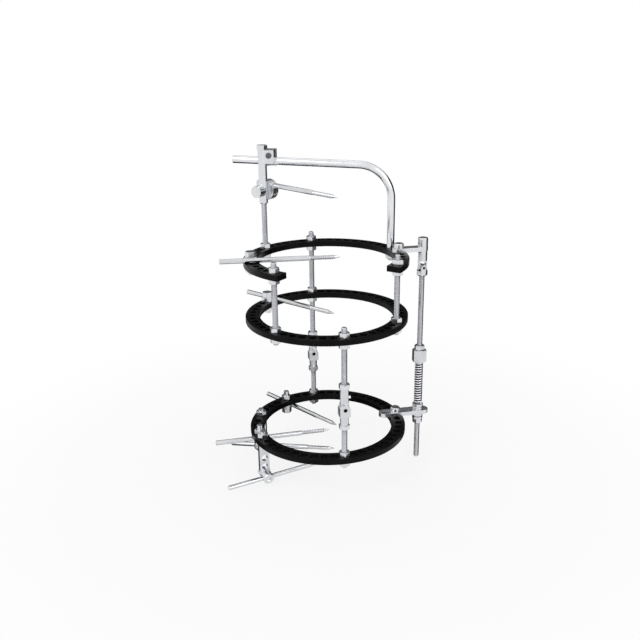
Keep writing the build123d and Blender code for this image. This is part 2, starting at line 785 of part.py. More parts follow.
def spring():
    """Round-wire compression spring between the cup washer and the adjusting nut."""
    mean = rod_diameter / 2 + spring_gap + spring_wire / 2
    rise = spring_length - spring_wire
    count = round(spring_turns * spring_sections)
    sections = []
    for index in range(count + 1):
        turn = full_turn * spring_turns * index / count
        centre = on_ring(turn, spring_low + spring_wire / 2 + rise * index / count, mean)
        across = Plane(origin=centre, x_dir=direction(turn), z_dir=direction(turn + 90))
        sections.append(across * RegularPolygon(spring_wire / 2, round(spring_sides)))
    return loft(sections, ruled=True)


parts["distractor_rod"] = rod(rod_diameter, bottom_ring_face - tail_length, rod_top, rod_at)
parts["adjusting_nut"] = nut(
    rod_at + UP * adjust_bottom, adjust_nut_turn, adjust_nut_flats, adjust_nut_height)
parts["lock_nut"] = nut(rod_at + UP * (adjust_bottom + adjust_nut_height), adjust_nut_turn)
parts["distractor_spring"] = Pos(rod_at) * spring()
parts["ball_seats"] = both_sides(ball_seat())
parts["cup_washers"] = both_sides(cup_washer())
parts["foot_nut"] = nut(rod_at + UP * (seat_centre - cup_height - nut_height), 0)

parts["upper_nuts"] = Compound(upper_nuts)
parts["lower_nuts"] = Compound(lower_nuts)

os.makedirs("parts", exist_ok=True)
for node, shape in parts.items():
    export_step(shape, "parts/" + node + ".step")
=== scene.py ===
"""Dresses the ring fixator: threads, nuts, half pins, spring, softened edges, finishes and a plain studio."""

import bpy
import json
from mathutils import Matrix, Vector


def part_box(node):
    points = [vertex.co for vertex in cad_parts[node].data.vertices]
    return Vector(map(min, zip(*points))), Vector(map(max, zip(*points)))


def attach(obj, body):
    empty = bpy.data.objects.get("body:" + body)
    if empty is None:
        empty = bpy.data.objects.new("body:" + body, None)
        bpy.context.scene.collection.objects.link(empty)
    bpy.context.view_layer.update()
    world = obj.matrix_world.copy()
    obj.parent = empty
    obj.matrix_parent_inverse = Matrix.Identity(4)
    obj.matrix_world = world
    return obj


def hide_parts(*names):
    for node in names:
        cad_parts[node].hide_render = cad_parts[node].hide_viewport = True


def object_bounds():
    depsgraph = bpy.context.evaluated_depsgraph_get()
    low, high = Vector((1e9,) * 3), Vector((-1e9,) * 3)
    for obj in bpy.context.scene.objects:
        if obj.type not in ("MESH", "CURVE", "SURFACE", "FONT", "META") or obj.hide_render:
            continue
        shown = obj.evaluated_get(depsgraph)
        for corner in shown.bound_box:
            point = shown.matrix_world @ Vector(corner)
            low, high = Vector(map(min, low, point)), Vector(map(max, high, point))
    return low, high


bl_info = {
    "name": "Ring fixator",
    "version": (1, 0, 0),
    "blender": (4, 5, 0),
    "location": "View3D > Sidebar > Fixator",
    "description": "Adds threads, chamfered nuts, a coiled spring and finishes to a ring fixator",
    "category": "Object",
}

import json
import math

import bmesh
import bpy
import numpy as np
from bpy.props import FloatProperty, FloatVectorProperty, IntProperty, PointerProperty
from mathutils import Matrix, Vector

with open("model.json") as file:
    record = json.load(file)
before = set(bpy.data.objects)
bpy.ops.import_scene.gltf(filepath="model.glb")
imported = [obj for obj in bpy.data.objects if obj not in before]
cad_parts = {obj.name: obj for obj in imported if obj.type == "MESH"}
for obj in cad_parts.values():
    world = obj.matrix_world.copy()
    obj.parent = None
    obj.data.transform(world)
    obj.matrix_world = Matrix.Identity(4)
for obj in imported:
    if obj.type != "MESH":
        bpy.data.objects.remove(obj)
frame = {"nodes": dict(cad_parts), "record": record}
CAD_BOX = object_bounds()
NODES = frame["nodes"]
RECORD = frame["record"]
BODY_OF = {node: body for body, nodes in RECORD["behaviour"]["bodies"].items() for node in nodes}
SLOT_OF = {part["node"]: part["material_slot"] for part in RECORD["subparts"]}
COLOUR_OF = {entry["slot"]: tuple(entry["base_color"][:3]) for entry in RECORD["materials"]}
MOUNTS = {mount["name"]: mount for mount in RECORD["mounts"]}
MM = 0.001

RING_NODES = ("top_ring", "middle_ring", "bottom_ring")
ROD_NODES = ("left_rod", "right_rod", "back_rod", "front_rod", "front_lower_rod", "back_lower_rod",
             "post_rod", "distractor_rod")
PIN_NODES = ("top_pin", "middle_pin", "post_pin", "rear_pin", "side_pin", "front_hanger_pin",
             "rear_hanger_pin")
NUT_NODES = ("upper_nuts", "lower_nuts", "adjusting_nut", "lock_nut", "wheel_nut", "foot_nut")
PIN_BOLT_NODES = ("upper_pin_bolts", "ring_pin_bolts", "hanger_pin_bolts")
HINGE_NODES = ("front_hinge_upper", "back_hinge_upper", "front_hinge_lower", "back_hinge_lower",
               "front_hinge_pin", "back_hinge_pin", "hinge_set_screws")
CLAMP_NODES = ("upper_pin_washers", "ring_pin_washers", "hanger_pin_washers", "front_hanger", "rear_hanger")
POST_NODES = ("post_sleeve", "bar_clamp_block", "bar_clamp_jaw", "bar_clamp_bolt", "bar_clamp_screw",
              "wheel_inner", "wheel_outer", "wheel_bolt")
DISTRACTOR_NODES = ("upper_plate", "upper_plate_bolt", "lower_plate", "lower_plate_bolt", "joint_cap_nut",
                    "joint_upper_yoke", "joint_cross", "joint_lower_yoke", "joint_pin", "ball_seats",
                    "cup_washers")

# Pieces whose finish is not the one of their slot
OWN_FINISH = {
    "front_hinge_pin": "blackened_pin",
    "back_hinge_pin": "blackened_pin",
    "joint_pin": "blackened_pin",
    "bar_clamp_screw": "burnished_screw",
    # the distractor rod takes a painted shade under the spring, standing in for the shadow of the coils
    "distractor_rod": "greased_thread",
}

# Lowest and highest roughness of each finish
GLOSS = {
    "ring_black": (0.26, 0.36),
    "pin_steel": (0.12, 0.20),
    "rod_steel": (0.24, 0.34),
    "part_steel": (0.22, 0.32),
    "fastener_steel": (0.22, 0.28),
    "spring_steel": (0.16, 0.24),
    "bar_steel": (0.12, 0.18),
    "blackened_pin": (0.30, 0.40),
    "burnished_screw": (0.24, 0.34),
    "greased_thread": (0.24, 0.34),
}

# Scale of each pattern on a metre of surface
MARK_SCALE = 2600.0
CLOUD_SCALE = 90.0
MOULD_SCALE = 1600.0
MOTTLE_SCALE = 70.0
PAPER_SCALE = 40.0
FELT_SCALE = 300.0

# Most of a noise lies between these values
NOISE_LOW = 0.3
NOISE_HIGH = 0.7

# How the marks of steel are drawn out, and how strong and deep the patterns of steel and rings are
EVEN_GRAIN = (1.0, 1.0, 1.0)
UPRIGHT_GRAIN = (1.0, 1.0, 0.06)
STEEL_CLOUDS = (0.94, 1.05)
STEEL_MARK_STRENGTH = 0.03
STEEL_MARK_DEPTH = 0.02 * MM
RING_MOTTLE = (0.05, 0.25)
RING_SHEEN = 0.08
RING_GRAIN_STRENGTH = 0.1
RING_GRAIN_DEPTH = 0.04 * MM

# Where the painted shade on the distractor rod begins and ends along the spring, and the roughness of paper
# and felt
PAINTED_SHADE_ENDS = (0.03, 0.97)
DULL = 0.9

# Sides of the round shapes, and steps in one turn of the spring
NUT_SIDES = 36
PIN_SIDES = 32
ROD_SIDES = 24
BAR_SIDES = 48
WIRE_SIDES = 12
COIL_STEPS = 28

# Tolerances in reading and finishing the solids
MERGE_GAP = 0.002 * MM
SAME_HEIGHT = 0.01 * MM
SAME_WAY = 0.999
NEARLY_UPRIGHT = 0.9
RIDGE_SINK = 0.05 * MM
FLAT_ANGLE = math.radians(1)
SMOOTH_ANGLE = math.radians(32)
BREAK_ANGLE = math.radians(35)
BREAK_SEGMENTS = 2

# Name, power, place and size of each light, all turned to the middle of the fixator
UP = Vector((0, 0, 1))
AIM = Vector((0.0, 0.0, 0.07))
LIGHTS = (
    ("key_light", "key_power", (-0.9, -0.9, 1.2), 0.9),
    ("fill_light", "fill_power", (0.5, -1.1, 0.7), 0.8),
    ("back_light", "back_power", (0.2, 1.1, 1.0), 0.9),
)

# Name, place, aim, half width and grey of each dark card
LOW_CARD_PLACE = Vector((0.05, 0.30, CAD_BOX[0][2] + 1.0 * MM))
CARDS = (
    ("right_card", (0.42, 0.10, 0.12), AIM, 0.3, 0.02),
    ("low_card", LOW_CARD_PLACE, LOW_CARD_PLACE + UP, 0.3, 0.04),
    ("back_card", (0.15, 0.70, 0.30), AIM, 0.4, 0.02),
)

# Floor, which turns white away from the fixator, and the camera's frame and reach
FLOOR_HALF = 6.0
FLOOR_SHEEN = 0.1
FLOOR_SPECKLE = 0.99
FLOOR_FADE_REACH = (0.15, 0.55)
FLOOR_FADE_WHITE = (0.82, 1.0)
SENSOR_WIDTH = 36.0
SIGHT = 20.0


class FixatorThreads(bpy.types.PropertyGroup):
    """Threads of the rods and of the half pins."""

    rod_pitch: FloatProperty(
        name="Rod pitch", description="Rise of the rod thread in one turn", default=1.0 * MM, unit="LENGTH")
    rod_depth: FloatProperty(
        name="Rod thread depth", description="Crest to root of the rod thread",
        default=0.55 * MM, unit="LENGTH")
    rod_run_in: FloatProperty(
        name="Rod run-in", description="Plain end of a rod before its thread",
        default=0.8 * MM, unit="LENGTH")
    rod_ridge: FloatProperty(
        name="Rod ridge", description="Foot of the rod thread's ridge as a share of the pitch", default=0.92)
    pin_pitch: FloatProperty(
        name="Pin pitch", description="Rise of the bone thread in one turn",
        default=1.75 * MM, unit="LENGTH")
    pin_depth: FloatProperty(
        name="Pin thread depth", description="Crest to root of the bone thread",
        default=0.6 * MM, unit="LENGTH")
    pin_ridge: FloatProperty(
        name="Pin ridge", description="Foot of the bone thread's ridge as a share of the pitch", default=0.8)
    steps: IntProperty(
        name="Steps", description="Segments in one turn of a thread", default=16, min=8)


class FixatorEdges(bpy.types.PropertyGroup):
    """Edge breaks of the machined pieces and chamfers of the nuts and pins."""

    machined: FloatProperty(
        name="Machined edge", description="Edge break of the steel pieces", default=0.25 * MM, unit="LENGTH")
    ring: FloatProperty(
        name="Ring edge", description="Edge break of the rings and of their holes",
        default=0.45 * MM, unit="LENGTH")
    pin: FloatProperty(
        name="Pin chamfer", description="Chamfer of a half pin's blunt end and of its shoulder",
        default=0.5 * MM, unit="LENGTH")
    nut_face: FloatProperty(
        name="Nut face", description="Washer face of a nut as a share of its width", default=0.94)
    nut_chamfer: FloatProperty(
        name="Nut chamfer", description="Slope of the chamfer on a nut's corners",
        default=math.radians(30), subtype="ANGLE")
    nut_countersink: FloatProperty(
        name="Nut countersink", description="Widening of a nut's bore at its faces",
        default=0.35 * MM, unit="LENGTH")


class FixatorSpring(bpy.types.PropertyGroup):
    """Compression spring of the distractor."""

    wire: FloatProperty(
        name="Wire", description="Diameter of the spring wire", default=1.5 * MM, unit="LENGTH")
    turns: IntProperty(
        name="Turns", description="Turns between the two ends", default=17, min=1)


class FixatorBar(bpy.types.PropertyGroup):
    """Bent bar over the top ring."""

    bend: FloatProperty(
        name="Bend", description="Radius of the bend at the middle of the bar",
        default=35.5 * MM, unit="LENGTH")
    chamfer: FloatProperty(
        name="Chamfer", description="Chamfer of the bar's free end", default=0.6 * MM, unit="LENGTH")
    bend_steps: IntProperty(
        name="Bend steps", description="Segments along the bend", default=32, min=4)


class FixatorFinish(bpy.types.PropertyGroup):
    """Colours of the materials, and how bright their polish makes them."""

    ring_colour: FloatVectorProperty(
        name="Ring black", description="Colour of the composite rings", subtype="COLOR",
        default=COLOUR_OF["ring_black"], min=0.0, max=1.0)
    pin_colour: FloatVectorProperty(
        name="Pin steel", description="Colour of the half pins", subtype="COLOR",
        default=COLOUR_OF["pin_steel"], min=0.0, max=1.0)
    rod_colour: FloatVectorProperty(
        name="Rod steel", description="Colour of the threaded rods", subtype="COLOR",
        default=COLOUR_OF["rod_steel"], min=0.0, max=1.0)
    part_colour: FloatVectorProperty(
        name="Part steel", description="Colour of plates, hinges and clamps", subtype="COLOR",
        default=COLOUR_OF["part_steel"], min=0.0, max=1.0)
    fastener_colour: FloatVectorProperty(
        name="Fastener steel", description="Colour of nuts, bolts and washers", subtype="COLOR",
        default=COLOUR_OF["fastener_steel"], min=0.0, max=1.0)
    spring_colour: FloatVectorProperty(
        name="Spring steel", description="Colour of the spring wire", subtype="COLOR",
        default=COLOUR_OF["spring_steel"], min=0.0, max=1.0)
    bar_colour: FloatVectorProperty(
        name="Bar steel", description="Colour of the bent bar", subtype="COLOR",
        default=COLOUR_OF["bar_steel"], min=0.0, max=1.0)
    polish: FloatProperty(
        name="Polish", description="How much brighter polished steel is than its plain colour", default=1.15)
    rod_polish: FloatProperty(
        name="Rod polish", description="How much brighter a threaded rod is than its plain colour",
        default=1.08)
    spring_polish: FloatProperty(
        name="Spring polish", description="How much brighter the spring wire is than its plain colour",
        default=1.45)
    blackened_colour: FloatVectorProperty(
        name="Blackened pin", description="Colour of the pivot pins of the hinges and of the joint",
        subtype="COLOR", default=(0.03, 0.03, 0.032), min=0.0, max=1.0)
    burnished_colour: FloatVectorProperty(
        name="Burnished screw", description="Colour of the bar clamp's screw", subtype="COLOR",
        default=(0.14, 0.14, 0.145), min=0.0, max=1.0)
    # Dark colour painted on the rod's thread under the spring: a painted shade for the shadow of the coils
    painted_shade_colour: FloatVectorProperty(
        name="Grease", description="Colour of the greased thread under the spring", subtype="COLOR",
        default=(0.07, 0.068, 0.065), min=0.0, max=1.0)
    floor_colour: FloatVectorProperty(
        name="Floor", description="Colour of the studio floor", subtype="COLOR",
        default=(0.93, 0.93, 0.93), min=0.0, max=1.0)


class FixatorStudio(bpy.types.PropertyGroup):
    """Camera and lights."""

    camera_place: FloatVectorProperty(
        name="Camera place", description="Where the camera stands", subtype="TRANSLATION", unit="LENGTH",
        default=(-0.1590, -0.7294, 0.3245))
    camera_heading: FloatProperty(
        name="Camera heading", description="Turn of the view from +Y towards +X",
        default=math.radians(11.75), subtype="ANGLE")
    camera_dip: FloatProperty(
        name="Camera dip", description="How far the view looks down", default=0.3325, subtype="ANGLE")
    camera_roll: FloatProperty(
        name="Camera roll", description="Turn of the picture", default=-0.0130, subtype="ANGLE")
    camera_lens: FloatProperty(
        name="Camera lens", description="Focal length in millimetres on a 36 mm frame", default=42.13)
    key_power: FloatProperty(
        name="Key light", description="Power of the large light at the upper left",
        default=6.5, unit="POWER")
    fill_power: FloatProperty(
        name="Fill light", description="Power of the light at the right", default=3.0, unit="POWER")
    back_power: FloatProperty(
        name="Back light", description="Power of the light behind and above", default=2.0, unit="POWER")
    ambient: FloatProperty(
        name="Ambient", description="Strength of the light from all round", default=0.55)


# Finishes

def new_material(name):
    """A material whose Principled shader reads a pattern on Object coordinates."""
    material = bpy.data.materials.new(name)
    material.use_nodes = True
    nodes = material.node_tree.nodes
    shader = next(node for node in nodes if node.type == "BSDF_PRINCIPLED")
    place = nodes.new("ShaderNodeTexCoord")
    mapping = nodes.new("ShaderNodeMapping")
    material.node_tree.links.new(place.outputs["Object"], mapping.inputs["Vector"])
    return material, shader, mapping


def add_noise(material, mapping, scale, detail=3.0):
    """Noise on the mapped coordinates."""
    noise = material.node_tree.nodes.new("ShaderNodeTexNoise")
    noise.inputs["Scale"].default_value = scale
    noise.inputs["Detail"].default_value = detail
    material.node_tree.links.new(mapping.outputs["Vector"], noise.inputs["Vector"])
    return noise.outputs["Fac"]


def spread(material, factor, low, high, socket):
    """Maps a pattern from low to high into a number socket."""
    rescale = material.node_tree.nodes.new("ShaderNodeMapRange")
    rescale.inputs["From Min"].default_value = NOISE_LOW
    rescale.inputs["From Max"].default_value = NOISE_HIGH
    rescale.inputs["To Min"].default_value = low
    rescale.inputs["To Max"].default_value = high
    material.node_tree.links.new(factor, rescale.inputs["Value"])
    material.node_tree.links.new(rescale.outputs["Result"], socket)


def tint(material, factor, dark, light, socket):
    """Maps a pattern from a dark to a light colour into a colour socket."""
    ramp = material.node_tree.nodes.new("ShaderNodeValToRGB")
    ramp.color_ramp.elements[0].position = NOISE_LOW
    ramp.color_ramp.elements[0].color = (*dark, 1.0)
    ramp.color_ramp.elements[1].position = NOISE_HIGH
    ramp.color_ramp.elements[1].color = (*light, 1.0)
    material.node_tree.links.new(factor, ramp.inputs["Fac"])
    material.node_tree.links.new(ramp.outputs["Color"], socket)


def add_bump(material, factor, strength, depth, shader):
    """Raises a pattern on the surface."""
    bump = material.node_tree.nodes.new("ShaderNodeBump")
    bump.inputs["Strength"].default_value = strength
    bump.inputs["Distance"].default_value = depth
    material.node_tree.links.new(factor, bump.inputs["Height"])
    material.node_tree.links.new(bump.outputs["Normal"], shader.inputs["Normal"])


def background_rays(nodes, links):
    """1 for the rays that look at the surround: from the camera, in a reflection or through glass."""
    rays = nodes.new("ShaderNodeLightPath")
    total = rays.outputs["Is Camera Ray"]
    for name in ("Is Glossy Ray", "Is Transmission Ray"):
        either = nodes.new("ShaderNodeMath")
        either.operation = "MAXIMUM"
        links.new(total, either.inputs[0])
        links.new(rays.outputs[name], either.inputs[1])
        total = either.outputs[0]
    return total


def shade(colour, factor):
    """A colour made darker or brighter by a factor."""
    return tuple(min(1.0, channel * factor) for channel in colour)


def brushed(name, grain=EVEN_GRAIN):
    """Bare metal with fine marks that run the way grain is drawn out, still without its colour."""
    material, shader, mapping = new_material(name)
    mapping.inputs["Scale"].default_value = grain
    shader.inputs["Metallic"].default_value = 1.0
    marks = add_noise(material, mapping, MARK_SCALE)
    spread(material, marks, *GLOSS[name], shader.inputs["Roughness"])
    add_bump(material, marks, STEEL_MARK_STRENGTH, STEEL_MARK_DEPTH, shader)
    return material, shader, mapping


def steel(name, colour, grain=EVEN_GRAIN):
    """Stainless steel with fine marks and a faint cloudiness."""
    material, shader, mapping = brushed(name, grain)
    clouds = add_noise(material, mapping, CLOUD_SCALE)
    dark, light = (shade(colour, factor) for factor in STEEL_CLOUDS)
    tint(material, clouds, dark, light, shader.inputs["Base Color"])
    return material


def ring_black(colour):
    """Black composite with a faint mottle and a fine moulded grain."""
    material, shader, mapping = new_material("ring_black")
    grain = add_noise(material, mapping, MOULD_SCALE, detail=2.0)
    mottle = add_noise(material, mapping, MOTTLE_SCALE)
    dark, light = (shade(colour, factor) for factor in RING_MOTTLE)
    tint(material, mottle, dark, light, shader.inputs["Base Color"])
    spread(material, mottle, *GLOSS["ring_black"], shader.inputs["Roughness"])
    shader.inputs["Specular IOR Level"].default_value = RING_SHEEN
    add_bump(material, grain, RING_GRAIN_STRENGTH, RING_GRAIN_DEPTH, shader)
    return material


def greased_thread(colour, painted_shadow):
    """Rod steel whose thread is painted dark where the spring rides on it: a painted shade for the shadow of
    the coils.
    """
    material, shader, mapping = brushed("greased_thread")
    nodes = material.node_tree.nodes
    links = material.node_tree.links
    low, high = (corner[2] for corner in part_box("distractor_spring"))
    height = nodes.new("ShaderNodeSeparateXYZ")
    links.new(mapping.outputs["Vector"], height.inputs["Vector"])
    along = nodes.new("ShaderNodeMapRange")
    along.inputs["From Min"].default_value = low
    along.inputs["From Max"].default_value = high
    links.new(height.outputs["Z"], along.inputs["Value"])
    ramp = nodes.new("ShaderNodeValToRGB")
    ramp.color_ramp.elements[0].color = (*colour, 1.0)
    ramp.color_ramp.elements[1].color = (*colour, 1.0)
    # between these ends, along the spring, the rod takes the painted shade colour
    for position in PAINTED_SHADE_ENDS:
        ramp.color_ramp.elements.new(position).color = (*painted_shadow, 1.0)
    links.new(along.outputs["Result"], ramp.inputs["Fac"])
    links.new(ramp.outputs["Color"], shader.inputs["Base Color"])
    return material


def make_finishes(finish):
    """One material for each slot of the record, and the finishes of the darker pieces."""
    rod_colour = shade(finish.rod_colour, finish.rod_polish)
    return {
        "ring_black": ring_black(finish.ring_colour),
        "pin_steel": steel("pin_steel", finish.pin_colour),
        "rod_steel": steel("rod_steel", rod_colour),
        "part_steel": steel("part_steel", shade(finish.part_colour, finish.polish), UPRIGHT_GRAIN),
        "fastener_steel": steel("fastener_steel", shade(finish.fastener_colour, finish.polish)),
        "spring_steel": steel("spring_steel", shade(finish.spring_colour, finish.spring_polish)),
        "bar_steel": steel("bar_steel", shade(finish.bar_colour, finish.polish)),
        "blackened_pin": steel("blackened_pin", finish.blackened_colour),
        "burnished_screw": steel("burnished_screw", finish.burnished_colour),
        # the distractor rod with a painted shade under the spring
        "greased_thread": greased_thread(rod_colour, finish.painted_shade_colour),
    }


# Filled by main before the first piece is made
FINISHES = {}


# Shapes

def add_piece(name, bm, *nodes):
    """Makes an object of the mesh that stands for the named nodes, on their body and in their finish."""
    face_outwards(bm)
    mesh = bpy.data.meshes.new(name)
    bm.to_mesh(mesh)
    bm.free()
    mesh.polygons.foreach_set("use_smooth", [True] * len(mesh.polygons))
    mesh.set_sharp_from_angle(angle=SMOOTH_ANGLE)
    piece = bpy.data.objects.new(name, mesh)
    bpy.context.scene.collection.objects.link(piece)
    slot = SLOT_OF[nodes[0]]
    mesh.materials.append(FINISHES[OWN_FINISH.get(nodes[0], slot)])
    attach(piece, BODY_OF[nodes[0]])
    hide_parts(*nodes)
    return piece


def add_stage(name, bm, material):
    """Makes a piece of the studio, which is no part of the fixator."""
    mesh = bpy.data.meshes.new(name)
    bm.to_mesh(mesh)
    bm.free()
    mesh.materials.append(material)
    piece = bpy.data.objects.new(name, mesh)
    bpy.context.scene.collection.objects.link(piece)
    return piece


def merged(node):
    """A copy of a node's mesh with its loose triangles joined."""
    bm = bmesh.new()
    bm.from_mesh(NODES[node].data)
    bmesh.ops.remove_doubles(bm, verts=bm.verts, dist=MERGE_GAP)
    return bm


def soften(node, width):
    """Stands a copy of a node in its place with every sharp edge broken."""
    bm = merged(node)
    bmesh.ops.dissolve_limit(
        bm, angle_limit=FLAT_ANGLE, use_dissolve_boundaries=False, verts=bm.verts, edges=bm.edges)
    piece = add_piece(node + "_finished", bm, node)
    bevel = piece.modifiers.new("edge_break", "BEVEL")
    bevel.width = width
    bevel.segments = BREAK_SEGMENTS
    bevel.limit_method = "ANGLE"
    bevel.angle_limit = BREAK_ANGLE
    bevel.harden_normals = True


def shells(bm):
    """The faces of each separate shell of a mesh."""
    seen = set()
    for first in bm.faces:
        if first in seen:
            continue
        seen.add(first)
        found = [first]
        for face in found:
            for other in (other for edge in face.edges for other in edge.link_faces):
                if other not in seen:
                    seen.add(other)
                    found.append(other)
        yield found


def face_outwards(bm):
    """Turns the faces of every closed shell outwards."""
    bmesh.ops.recalc_face_normals(bm, faces=bm.faces)
    for shell in shells(bm):
        volume = sum(face.calc_center_median().dot(face.normal) * face.calc_area() for face in shell)
        if volume < 0:
            bmesh.ops.reverse_faces(bm, faces=shell)


def solids_of(node):
    """The corner points of each separate solid of a node, with the normals and areas of its faces."""
    bm = merged(node)
    solids = []
    for faces in shells(bm):
        points = np.array([vert.co[:] for face in faces for vert in face.verts])
        normals = np.array([face.normal[:] for face in faces])
        areas = np.array([face.calc_area() for face in faces])
        solids.append((points, normals, areas))
    bm.free()
    return solids


def turned_to(origin, z_axis, x_hint):
    """Matrix that stands a shape made along Z on origin, its Z along z_axis and X near x_hint."""
    z = Vector(z_axis).normalized()
    y = z.cross(Vector(x_hint)).normalized()
    x = y.cross(z)
    place = Matrix((x, y, z)).transposed().to_4x4()
    place.translation = Vector(origin)
    return place


def any_across(axis):
    """A direction well away from an axis."""
    return UP if abs(axis[2]) < NEARLY_UPRIGHT else Vector((1, 0, 0))


def ring_of_edges(bm, sides, radius_and_height):
    """A closed loop of edges about Z whose radius and height follow the angle."""
    verts = bmesh.ops.create_circle(bm, segments=sides, radius=1.0)["verts"]
    for vert in verts:
        angle = math.atan2(vert.co.y, vert.co.x)
        radius, height = radius_and_height(angle)
        vert.co = (radius * math.cos(angle), radius * math.sin(angle), height)
    return list({edge for vert in verts for edge in vert.link_edges})


def skin(bm, loops, closed=False):
    """Bridges each loop of edges to the next."""
    pairs = list(zip(loops, loops[1:]))
    if closed:
        pairs.append((loops[-1], loops[0]))
    for first, second in pairs:
        bmesh.ops.bridge_loops(bm, edges=first + second)


def round_loop(radius, height):
    """Outline of a circle at a height, for ring_of_edges."""
    return lambda angle: (radius, height)


def add_nut(bm, place, flats, height, bore, edges):
    """Hex nut along Z from 0 to height, corners on X, chamfered on both faces."""
    face = flats / 2 * edges.nut_face
    slope = math.tan(edges.nut_chamfer)
    sink = edges.nut_countersink

    def hexagon(top):
        def outline(angle):
            radius = flats / 2 / math.cos(angle % (math.pi / 3) - math.pi / 6)
            drop = (radius - face) * slope
            return radius, (height - drop if top else drop)
        return outline

    part = bmesh.new()
    outlines = (round_loop(bore, sink), round_loop(bore + sink, 0), round_loop(face, 0), hexagon(False),
                hexagon(True), round_loop(face, height), round_loop(bore + sink, height),
                round_loop(bore, height - sink))
    loops = [ring_of_edges(part, NUT_SIDES, outline) for outline in outlines]
    skin(part, loops, closed=True)
    join(bm, part, place)


def join(bm, part, place):
    """Adds a finished shape to a mesh at its place."""
    bmesh.ops.transform(part, matrix=place, verts=part.verts)
    mesh = bpy.data.meshes.new("part")
    part.to_mesh(mesh)
    part.free()
    bm.from_mesh(mesh)
    bpy.data.meshes.remove(mesh)


def turned_shape(profile, sides):
    """Solid of revolution about Z of a list of radius and height, from bottom to top, closed at both ends."""
    part = bmesh.new()
    loops = [ring_of_edges(part, sides, round_loop(radius, height)) for radius, height in profile]
    skin(part, loops)
    for loop in (loops[0], loops[-1]):
        bmesh.ops.edgeloop_fill(part, edges=loop)
    return part


def thread_ridge(start, length, crest, root, pitch, steps, width):
    """Helical ridge about Z with a pointed section, sunk a little into its core."""
    part = bmesh.new()
    inside = root - RIDGE_SINK
    half = width / 2
    corners = [part.verts.new(point) for point in ((inside, 0, -half), (crest, 0, 0), (inside, 0, half))]
    section = part.faces.new(corners)
    bmesh.ops.translate(part, vec=(0, 0, start), verts=corners)
    turns = length / pitch
    count = max(1, round(turns * steps))
    geometry = [section] + list(section.edges) + corners
    bmesh.ops.spin(part, geom=geometry, cent=(0, 0, 0), axis=(0, 0, 1), dvec=(0, 0, length / count),
                   angle=turns * 2 * math.pi, steps=count, use_duplicate=False)
    bmesh.ops.holes_fill(part, edges=[edge for edge in part.edges if edge.is_boundary], sides=0)
    return part


def add_threaded_bar(bm, place, length, radius, threads):
    """Threaded rod along Z from 0 to length with short plain ends."""
    root = radius - threads.rod_depth
    run_in = threads.rod_run_in
    neck = root - run_in / 2
    profile = [(neck, 0), (root, run_in / 2), (root, length - run_in / 2), (neck, length)]
    core = turned_shape(profile, ROD_SIDES)
    join(bm, core, place)
    ridge = thread_ridge(run_in, length - 2 * run_in, radius, root, threads.rod_pitch, threads.steps,
                         threads.rod_pitch * threads.rod_ridge)
    join(bm, ridge, place)


# Operators, one for each group of like pieces

class FIXATOR_OT_rings(bpy.types.Operator):
    """Breaks the edges of the three black rings and of their holes"""

    bl_idname = "fixator.rings"
    bl_label = "Rings"

    def execute(self, context):
        for node in RING_NODES:
            soften(node, context.scene.fixator_edges.ring)
        return {"FINISHED"}


class FIXATOR_OT_threaded_rods(bpy.types.Operator):
    """Cuts threads on the rods that join the rings and on the distractor's rod"""

    bl_idname = "fixator.threaded_rods"
    bl_label = "Threaded rods"

    def execute(self, context):
        for node in ROD_NODES:
            low, high = (Vector(corner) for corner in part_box(node))
            middle = (low + high) / 2
            bm = bmesh.new()
            place = Matrix.Translation((middle.x, middle.y, low.z))
            add_threaded_bar(bm, place, high.z - low.z, (high.x - low.x) / 2, context.scene.fixator_threads)
            add_piece(node + "_threaded", bm, node)
        return {"FINISHED"}


class FIXATOR_OT_half_pins(bpy.types.Operator):
    """Turns the half pins with their bone thread, point and chamfered end"""

    bl_idname = "fixator.half_pins"
    bl_label = "Half pins"

    def execute(self, context):
        threads = context.scene.fixator_threads
        for node in PIN_NODES:
            mount = MOUNTS[node + "_end"]
            axis = Vector(mount["axis"]).normalized()
            centre = Vector(mount["pos_m"])
            points = np.array([vert.co[:] for vert in NODES[node].data.vertices])
            along = (points - np.array(centre)) @ np.array(axis)
            across = np.linalg.norm(points - np.array(centre) - np.outer(along, np.array(axis)), axis=1)
            back, front = along.min(), along.max()
            shank = across.max()
            crest = mount["dims"]["r_mm"] * MM
            half = mount["dims"]["length_mm"] * MM / 2
            root = crest - threads.pin_depth
            tip = across[along > front - SAME_HEIGHT].max()
            chamfer = context.scene.fixator_edges.pin
            core = turned_shape([
                (shank - chamfer, back), (shank, back + chamfer), (shank, -half - chamfer), (root, -half),
                (root, half - chamfer), (tip, front)], PIN_SIDES)
            bm = bmesh.new()
            place = turned_to(centre, axis, any_across(axis))
            join(bm, core, place)
            width = threads.pin_pitch * threads.pin_ridge
            ridge = thread_ridge(-half, 2 * half - chamfer - width / 2, crest, root, threads.pin_pitch,
                                 threads.steps, width)
            join(bm, ridge, place)
            add_piece(node + "_turned", bm, node)
        return {"FINISHED"}


class FIXATOR_OT_nuts(bpy.types.Operator):
    """Stands a chamfered nut in the place of every plain hexagon"""

    bl_idname = "fixator.nuts"
    bl_label = "Nuts"

    def execute(self, context):
        for node in NUT_NODES:
            bm = bmesh.new()
            for points, normals, areas in solids_of(node):
                self.stand_nut(bm, points, normals, areas, context.scene.fixator_edges)
            add_piece(node + "_chamfered", bm, node)
        return {"FINISHED"}

    @staticmethod
    def stand_nut(bm, points, normals, areas, edges):
        """Reads a plain nut's axis, corner and sizes from its solid and adds the chamfered one."""
        middle = (points.min(axis=0) + points.max(axis=0)) / 2
        agree = np.abs(normals @ normals.T) > SAME_WAY
        axis = normals[np.argmax(agree @ areas)]
        along = (points - middle) @ axis
        flat_points = points - middle - np.outer(along, axis)
        reach = np.linalg.norm(flat_points, axis=1)
        corner = flat_points[np.argmax(reach)]
        height = along.max() - along.min()
        place = turned_to(middle + axis * along.min(), axis, corner)
        add_nut(bm, place, 2 * reach.max() * math.cos(math.pi / 6), height, reach.min(), edges)


